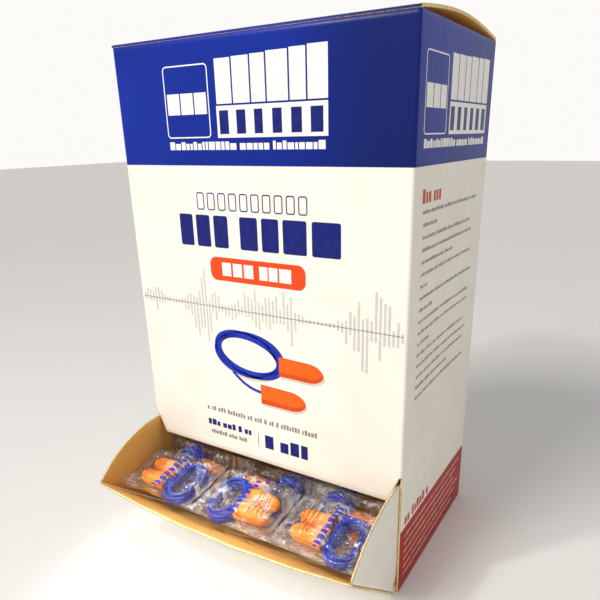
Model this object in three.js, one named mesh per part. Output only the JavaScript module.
// Counter-top dispenser carton of corded foam ear plugs.
// Millimetres, +Z up, the front of the carton faces -Y, +X is to the right of someone facing the front.
import * as THREE from 'three';

// Carton
const BOX_WIDTH = 200;
const BOX_DEPTH = 130;
const BOX_HEIGHT = 332;
const BOARD = 1.5;
const CREASE_GAP = 0.3;
const GLUE_TAB_WIDTH = 26;
const BOTTOM_DUST_REACH = 60;

// Lid
const LID_BOW = 5;
const LID_BACK_CLEARANCE = 1;
const TONGUE_LENGTH = 25;
const TONGUE_LEAN_DEG = 8;
const TONGUE_SIDE_TAPER = 6;
const TOP_DUST_REACH = 60;
const TOP_DUST_TONGUE_CLEARANCE = 9;

// Dispensing mouth and tray
const MOUTH_BELOW_TIP = 12;
const SLIT_ABOVE_TIP = 6;
const CHAMFER_WIDTH = 6.8;
const TRAY_OPEN_DEG = 48;
const TRAY_BOW = 5;
const TRAY_REACH = 80;
const WING_TAIL_DEG = 10;
const WING_HEEL = 13;
const WING_HEEL_RISE = 3;
const HINGE_KNUCKLE = 0.4;

// Packets
const PACKET_COLUMNS = 3;
const POUCH_SEAL = 4;
const POUCH_WALL = 0.25;
const POUCH_SEAL_THICKNESS = 1.2;
const POUCH_END_ROOM = 4.1;
const POUCH_SIDE_ROOM = 4.2;
const POUCH_FACE_ROOM = 1.5;
const PLUG_LENGTH = 24;
const PLUG_BASE_DIAMETER = 12.5;
const PLUG_NOSE_DIAMETER = 11.2;
const PLUG_NOSE_LENGTH = 8;
const PLUG_SPACING = 0.5;
const CORD_DIAMETER = 2.2;
const CORD_PITCH = 2.4;
const HANK_LAYERS = 3;
const HANK_STRANDS = 2;
const HANK_BEND = 8.6;
const HANK_STRAIGHT = 16;
const HANK_PLUG_GAP = 0.8;

// Where the packets lie
const TRAY_SIDE_GAP = 1.2;
const FRONT_ROW_PANEL_GAP = 2.1;
const FRONT_ROW_MOUTH_GAP = 3.6;
const FRONT_ROW_TILT_DEG = -38;
const REAR_ROW_HEEL = 13;
const REAR_ROW_TILT_DEG = 31;
const RESERVE_LAYERS = 2;
const RESERVE_MIDDLE_GAP = 5;
const RESERVE_WALL_GAP = 9;

const COLOURS = {
  print: { color: 0xf7f1e6, roughness: 0.45 },
  kraft: { color: 0xc4924a, roughness: 0.85 },
  film: { color: 0xe4e8ee, roughness: 0.12 },
  foam: { color: 0xff8a1c, roughness: 0.9 },
  cord: { color: 0x1f3fb4, roughness: 0.4 },
};

const radians = THREE.MathUtils.degToRad;
const SIDE_INNER = BOX_WIDTH / 2 - BOARD;
const INSIDE_X = SIDE_INNER - CREASE_GAP;
const TOP_EDGE = BOX_HEIGHT - BOARD - CREASE_GAP;
const SIDE_START = BOARD + CREASE_GAP;
const BACK_INNER = BOX_DEPTH - BOARD;
const FLOOR_TOP = 2 * BOARD + CREASE_GAP;
const HINGE_Y = -BOARD - CREASE_GAP;
// the tray's wings swing out through the chamfered corners of the mouth
const MOUTH_HEIGHT = TRAY_REACH - MOUTH_BELOW_TIP;
const SLIT_HEIGHT = TRAY_REACH + SLIT_ABOVE_TIP;
const HANK_HALF = (HANK_STRANDS * CORD_PITCH) / 2;
const HANK_ACROSS = 2 * (HANK_BEND + HANK_HALF);
const POUCH_BODY = PLUG_LENGTH + HANK_PLUG_GAP + HANK_ACROSS + 2 * POUCH_END_ROOM;
const POUCH_LENGTH = POUCH_BODY + 2 * POUCH_SEAL;
const POUCH_WIDTH = HANK_STRAIGHT + HANK_ACROSS + 2 * POUCH_SIDE_ROOM;
const POUCH_THICKNESS = PLUG_BASE_DIAMETER + 2 * (POUCH_WALL + POUCH_FACE_ROOM);

function named(name, geometry, look) {
  const { color, roughness } = COLOURS[look];
  const material = new THREE.MeshStandardMaterial({ color, roughness, metalness: 0 });
  material.name = look;
  const mesh = new THREE.Mesh(geometry, material);
  mesh.name = name;
  return mesh;
}

function slab(outline, thickness = BOARD) {
  const shape = new THREE.Shape(outline.map(([x, y]) => new THREE.Vector2(x, y)));
  return new THREE.ExtrudeGeometry(shape, { depth: thickness, bevelEnabled: false });
}

// An outline drawn in x and z, standing with its outer face at y.
function frontFacing(outline, y) {
  return slab(outline).rotateX(Math.PI / 2).translate(0, y + BOARD, 0);
}

// An outline drawn in y and z, standing with its lower-x face at x.
function sideFacing(outline, x) {
  const axes = new THREE.Matrix4().makeBasis(
    new THREE.Vector3(0, 1, 0), new THREE.Vector3(0, 0, 1), new THREE.Vector3(1, 0, 0));
  return slab(outline).applyMatrix4(axes).translate(x, 0, 0);
}

function rectangle(x0, y0, x1, y1) {
  return [[x0, y0], [x1, y0], [x1, y1], [x0, y1]];
}

// A sheet over x and u, from u = start to u = end, its lower face lifted by liftAt(x, share of its length).
function bentSheet(xs, rows, start, end, liftAt) {
  const points = [];
  const faces = [];
  const stride = rows + 1;
  const layer = xs.length * stride;
  for (const top of [0, BOARD]) {
    for (const x of xs) {
      for (let j = 0; j <= rows; j += 1) {
        const share = j / rows;
        points.push(x, start + (end - start) * share, liftAt(x, share) + top);
      }
    }
  }
  const quad = (a, b, c, d) => faces.push(a, b, c, a, c, d);
  for (let i = 0; i < xs.length - 1; i += 1) {
    for (let j = 0; j < rows; j += 1) {
      const a = i * stride + j;
      const b = a + stride;
      quad(a, a + 1, b + 1, b);
      quad(layer + a, layer + b, layer + b + 1, layer + a + 1);
    }
    const low = i * stride;
    const high = low + rows;
    quad(low, low + stride, layer + low + stride, layer + low);
    quad(high, layer + high, layer + high + stride, high + stride);
  }
  const last = (xs.length - 1) * stride;
  for (let j = 0; j < rows; j += 1) {
    quad(j, layer + j, layer + j + 1, j + 1);
    quad(last + j, last + j + 1, layer + last + j + 1, layer + last + j);
  }
  const geometry = new THREE.BufferGeometry();
  geometry.setAttribute('position', new THREE.Float32BufferAttribute(points, 3));
  geometry.setIndex(faces);
  geometry.computeVertexNormals();
  return geometry;
}

function evenly(from, to, steps) {
  return Array.from({ length: steps + 1 }, (_, i) => from + ((to - from) * i) / steps);
}

function cartonWalls() {
  const half = BOX_WIDTH / 2;
  const slitX = SIDE_INNER;
  const mouthX = slitX - CHAMFER_WIDTH;
  const right = [[mouthX, MOUTH_HEIGHT], [slitX, SLIT_HEIGHT], [half, SLIT_HEIGHT], [half, TOP_EDGE]];
  const left = right.map(([x, z]) => [-x, z]).reverse();
  const front = frontFacing([...right, ...left], 0);
  const back = frontFacing(rectangle(-half, 0, half, TOP_EDGE), BACK_INNER);
  const side = [
    [0, 0], [BACK_INNER - CREASE_GAP, 0], [BACK_INNER - CREASE_GAP, TOP_EDGE], [SIDE_START, TOP_EDGE],
    [SIDE_START, SLIT_HEIGHT - CREASE_GAP], [0, SLIT_HEIGHT - CREASE_GAP],
  ];
  const tabBack = BACK_INNER - CREASE_GAP - BOARD;
  const tabTop = TOP_EDGE - TONGUE_LENGTH - CREASE_GAP - BOARD;
  const tab = rectangle(-INSIDE_X, FLOOR_TOP + CREASE_GAP, GLUE_TAB_WIDTH - INSIDE_X, tabTop);
  return [
    named('front_panel', front, 'print'),
    named('back_panel', back, 'print'),
    named('left_side_panel', sideFacing(side, -half), 'print'),
    named('right_side_panel', sideFacing(side, SIDE_INNER), 'print'),
    named('glue_tab', frontFacing(tab, tabBack), 'kraft'),
  ];
}

function cartonBottom() {
  const frontEdge = HINGE_Y + BOARD + HINGE_KNUCKLE;
  const middle = BOX_DEPTH / 2;
  const backEdge = BACK_INNER - CREASE_GAP;
  const dustLow = FLOOR_TOP - BOARD;
  const dust = rectangle(INSIDE_X - BOTTOM_DUST_REACH, 2 * BOARD, INSIDE_X, backEdge - 2 * BOARD);
  const dustRight = slab(dust).translate(0, 0, dustLow);
  const dustLeft = slab(dust.map(([x, y]) => [-x, y]).reverse()).translate(0, 0, dustLow);
  return [
    named('bottom_flap_front', slab(rectangle(-INSIDE_X, frontEdge, INSIDE_X, middle - CREASE_GAP)), 'print'),
    named('bottom_flap_back', slab(rectangle(-INSIDE_X, middle + CREASE_GAP, INSIDE_X, backEdge)), 'print'),
    named('bottom_dust_flap_left', dustLeft, 'kraft'),
    named('bottom_dust_flap_right', dustRight, 'kraft'),
  ];
}

function topDustFlaps() {
  const front = SIDE_START + CREASE_GAP;
  const back = BOX_DEPTH - TOP_DUST_TONGUE_CLEARANCE;
  const inner = INSIDE_X - TOP_DUST_REACH;
  const taper = TOP_DUST_TONGUE_CLEARANCE;
  const outline = [[INSIDE_X, front], [INSIDE_X, back], [inner, back - taper], [inner, front + taper]];
  const low = TOP_EDGE - BOARD;
  return [
    named('top_dust_flap_left', slab(outline.map(([x, y]) => [-x, y])).translate(0, 0, low), 'kraft'),
    named('top_dust_flap_right', slab([...outline].reverse()).translate(0, 0, low), 'kraft'),
  ];
}

function lid() {
  const half = BOX_WIDTH / 2;
  const end = BACK_INNER - LID_BACK_CLEARANCE;
  const bow = (x, share) => LID_BOW * Math.sin(Math.PI * share);
  const panel = bentSheet([-half, half], 12, CREASE_GAP, end, bow);
  panel.translate(0, 0, BOX_HEIGHT - BOARD);
  const wide = INSIDE_X - CREASE_GAP;
  const narrow = wide - TONGUE_SIDE_TAPER;
  const corner = TONGUE_LENGTH - TONGUE_SIDE_TAPER;
  const outline = [
    [-wide, 0], [-wide, -corner], [-narrow, -TONGUE_LENGTH], [narrow, -TONGUE_LENGTH], [wide, -corner], [wide, 0],
  ];
  const tongue = named('lid_tuck_tongue', frontFacing(outline, 0), 'print');
  tongue.position.set(0, end - BOARD, TOP_EDGE);
  tongue.rotation.x = -radians(TONGUE_LEAN_DEG);
  return [named('top_lid', panel, 'print'), tongue];
}

// Drawn closed and upright with the hinge crease at the origin, then leaned out.
function trayWalls() {
  const bow = (x, share) => -TRAY_BOW * (1 - (x / INSIDE_X) ** 2) * share ** 2;
  const panel = bentSheet(evenly(-INSIDE_X, INSIDE_X, 12), 5, HINGE_KNUCKLE, TRAY_REACH, bow);
  // the sheet's length becomes up and its thickness runs back into the carton
  panel.applyMatrix4(new THREE.Matrix4().makeBasis(
    new THREE.Vector3(-1, 0, 0), new THREE.Vector3(0, 0, 1), new THREE.Vector3(0, 1, 0)));
  const start = BOARD + CREASE_GAP;
  const arc = evenly(radians(WING_TAIL_DEG), Math.acos(start / TRAY_REACH), 14)
    .map((angle) => [TRAY_REACH * Math.cos(angle), TRAY_REACH * Math.sin(angle)]);
  const outline = [[start, FLOOR_TOP + CREASE_GAP], [WING_HEEL, FLOOR_TOP + WING_HEEL_RISE], ...arc];
  return [
    named('tray_front_panel', panel, 'kraft'),
    named('tray_wing_left', sideFacing(outline, -INSIDE_X), 'kraft'),
    named('tray_wing_right', sideFacing(outline, INSIDE_X - BOARD), 'kraft'),
  ];
}

// The pouch's half thickness along its filled length.
function pouchSwell(x, wall) {
  const reach = Math.min(1, Math.abs(x) / (POUCH_BODY / 2));
  return Math.max(POUCH_SEAL_THICKNESS / 2, (POUCH_THICKNESS / 2) * Math.sqrt(1 - reach ** 5)) - wall;
}

function pouch() {
  const around = 12;
  const reach = POUCH_BODY / 2;
  const end = reach + POUCH_SEAL;
  const stations = [0.5, 0.8, 0.96].map((share) => share * reach);
  const span = [...stations.map((x) => -x).reverse(), 0, ...stations];
  const points = [];
  const ring = (x, wall) => {
    for (let i = 0; i < around; i += 1) {
      const angle = (2 * Math.PI * i) / around;
      const side = Math.cos(angle);
      const up = Math.sin(angle);
      const y = Math.sign(side) * Math.abs(side) ** 0.75 * (POUCH_WIDTH / 2 - wall);
      points.push(x, y, Math.sign(up) * Math.abs(up) ** 0.75 * pouchSwell(x, wall));
    }
  };
  const outer = [-end, ...span, end];
  const inner = [end, ...[...span].reverse()];
  outer.forEach((x) => ring(x, 0));
  inner.forEach((x) => ring(x, POUCH_WALL));
  const rings = outer.length + inner.length;
  const faces = [];
  for (let k = 0; k < rings - 1; k += 1) {
    for (let i = 0; i < around; i += 1) {
      const a = k * around + i;
      const b = k * around + ((i + 1) % around);
      faces.push(a, b + around, a + around, a, b, b + around);
    }
  }
  const firstPole = points.length / 3;
  points.push(-end, 0, 0);
  points.push(-stations.at(-1) - POUCH_WALL, 0, 0);
  const lastRing = (rings - 1) * around;
  for (let i = 0; i < around; i += 1) {
    const next = (i + 1) % around;
    faces.push(firstPole, next, i);
    faces.push(firstPole + 1, lastRing + i, lastRing + next);
  }
  const geometry = new THREE.BufferGeometry();
  geometry.setAttribute('position', new THREE.Float32BufferAttribute(points, 3));
  geometry.setIndex(faces);
  geometry.computeVertexNormals();
  return geometry;
}

// The flat base is at the origin and the nose points along -X.
function plug() {
  const straight = PLUG_LENGTH - PLUG_NOSE_LENGTH;
  const nose = evenly(0, Math.PI / 2, 5).map((angle) => new THREE.Vector2(
    (PLUG_NOSE_DIAMETER / 2) * Math.cos(angle), straight + PLUG_NOSE_LENGTH * Math.sin(angle)));
  nose[nose.length - 1].x = 0;
  const profile = [new THREE.Vector2(0, 0), new THREE.Vector2(PLUG_BASE_DIAMETER / 2, 0), ...nose];
  return new THREE.LatheGeometry(profile, 12).rotateZ(Math.PI / 2);
}

function hank() {
  const racetrack = (bend) => {
    const path = new THREE.Path();
    path.absarc(0, HANK_STRAIGHT / 2, bend, 0, Math.PI, false);
    path.absarc(0, -HANK_STRAIGHT / 2, bend, Math.PI, 2 * Math.PI, false);
    return path.getPoints(8);
  };
  const shape = new THREE.Shape(racetrack(HANK_BEND + HANK_HALF));
  shape.holes.push(new THREE.Path(racetrack(HANK_BEND - HANK_HALF)));
  const tall = (HANK_LAYERS - 1) * CORD_PITCH + CORD_DIAMETER;
  return new THREE.ExtrudeGeometry(shape, { depth: tall, bevelEnabled: false }).translate(0, 0, -tall / 2);
}

// Long side along X, lying flat, with the plugs' noses towards -X.
function packet(number) {
  const group = new THREE.Group();
  const base = POUCH_END_ROOM + PLUG_LENGTH - POUCH_BODY / 2;
  const side = (PLUG_BASE_DIAMETER + PLUG_SPACING) / 2;
  const near = named(`packet_${number}_plug_near`, plug(), 'foam');
  const far = named(`packet_${number}_plug_far`, plug(), 'foam');
  const cord = named(`packet_${number}_cord_hank`, hank(), 'cord');
  near.position.set(base, -side, 0);
  far.position.set(base, side, 0);
  cord.position.x = base + HANK_PLUG_GAP + HANK_ACROSS / 2;
  group.add(named(`packet_${number}_pouch`, pouch(), 'film'), near, far, cord);
  return group;
}

function trayRows() {
  const tilt = radians(FRONT_ROW_TILT_DEG);
  const edgeY = BOARD + FRONT_ROW_PANEL_GAP;
  const edgeZ = Math.sqrt((MOUTH_HEIGHT - FRONT_ROW_MOUTH_GAP) ** 2 - edgeY ** 2);
  const half = POUCH_WIDTH / 2;
  const rearTilt = radians(REAR_ROW_TILT_DEG);
  const rear = REAR_ROW_HEEL + half;
  return [
    { y: edgeY + half * Math.cos(tilt), z: edgeZ + half * Math.sin(tilt), tilt },
    { y: rear * Math.cos(rearTilt), z: rear * Math.sin(rearTilt), tilt: rearTilt },
  ];
}

function trayPackets() {
  const room = 2 * (INSIDE_X - BOARD - TRAY_SIDE_GAP) - POUCH_LENGTH;
  const packets = [];
  trayRows().forEach((row, r) => {
    evenly(-room / 2, room / 2, PACKET_COLUMNS - 1).forEach((x, c) => {
      const group = packet(r * PACKET_COLUMNS + c + 1);
      group.position.set(x, row.y, row.z);
      group.rotation.x = row.tilt;
      group.rotation.z = (r + c) % 2 ? Math.PI : 0;
      packets.push(group);
    });
  });
  return packets;
}

function reservePackets() {
  const first = 2 * PACKET_COLUMNS + 1;
  const y = BACK_INNER - RESERVE_WALL_GAP - POUCH_WIDTH / 2;
  const packets = [];
  for (let layer = 0; layer < RESERVE_LAYERS; layer += 1) {
    for (const side of [-1, 1]) {
      const group = packet(first + packets.length);
      const z = FLOOR_TOP + CREASE_GAP + POUCH_THICKNESS / 2 + layer * (POUCH_THICKNESS + CREASE_GAP);
      group.position.set(side * (POUCH_LENGTH / 2 + RESERVE_MIDDLE_GAP), y, z);
      group.rotation.z = side > 0 ? Math.PI : 0;
      packets.push(group);
    }
  }
  return packets;
}

const carton = new THREE.Group();
carton.add(...cartonWalls(), ...cartonBottom(), ...topDustFlaps(), ...lid(), ...reservePackets());
const tray = new THREE.Group();
tray.add(...trayWalls(), ...trayPackets());
tray.position.y = HINGE_Y;
tray.rotation.x = radians(TRAY_OPEN_DEG);
carton.add(tray);

// The origin is at the middle of the footprint, on the surface that the carton stands on.
carton.updateMatrixWorld(true);
carton.position.y = -new THREE.Box3().setFromObject(carton).getCenter(new THREE.Vector3()).y;

const root = new THREE.Group();
root.name = 'ear_plug_dispenser';
root.add(carton);

export default root;
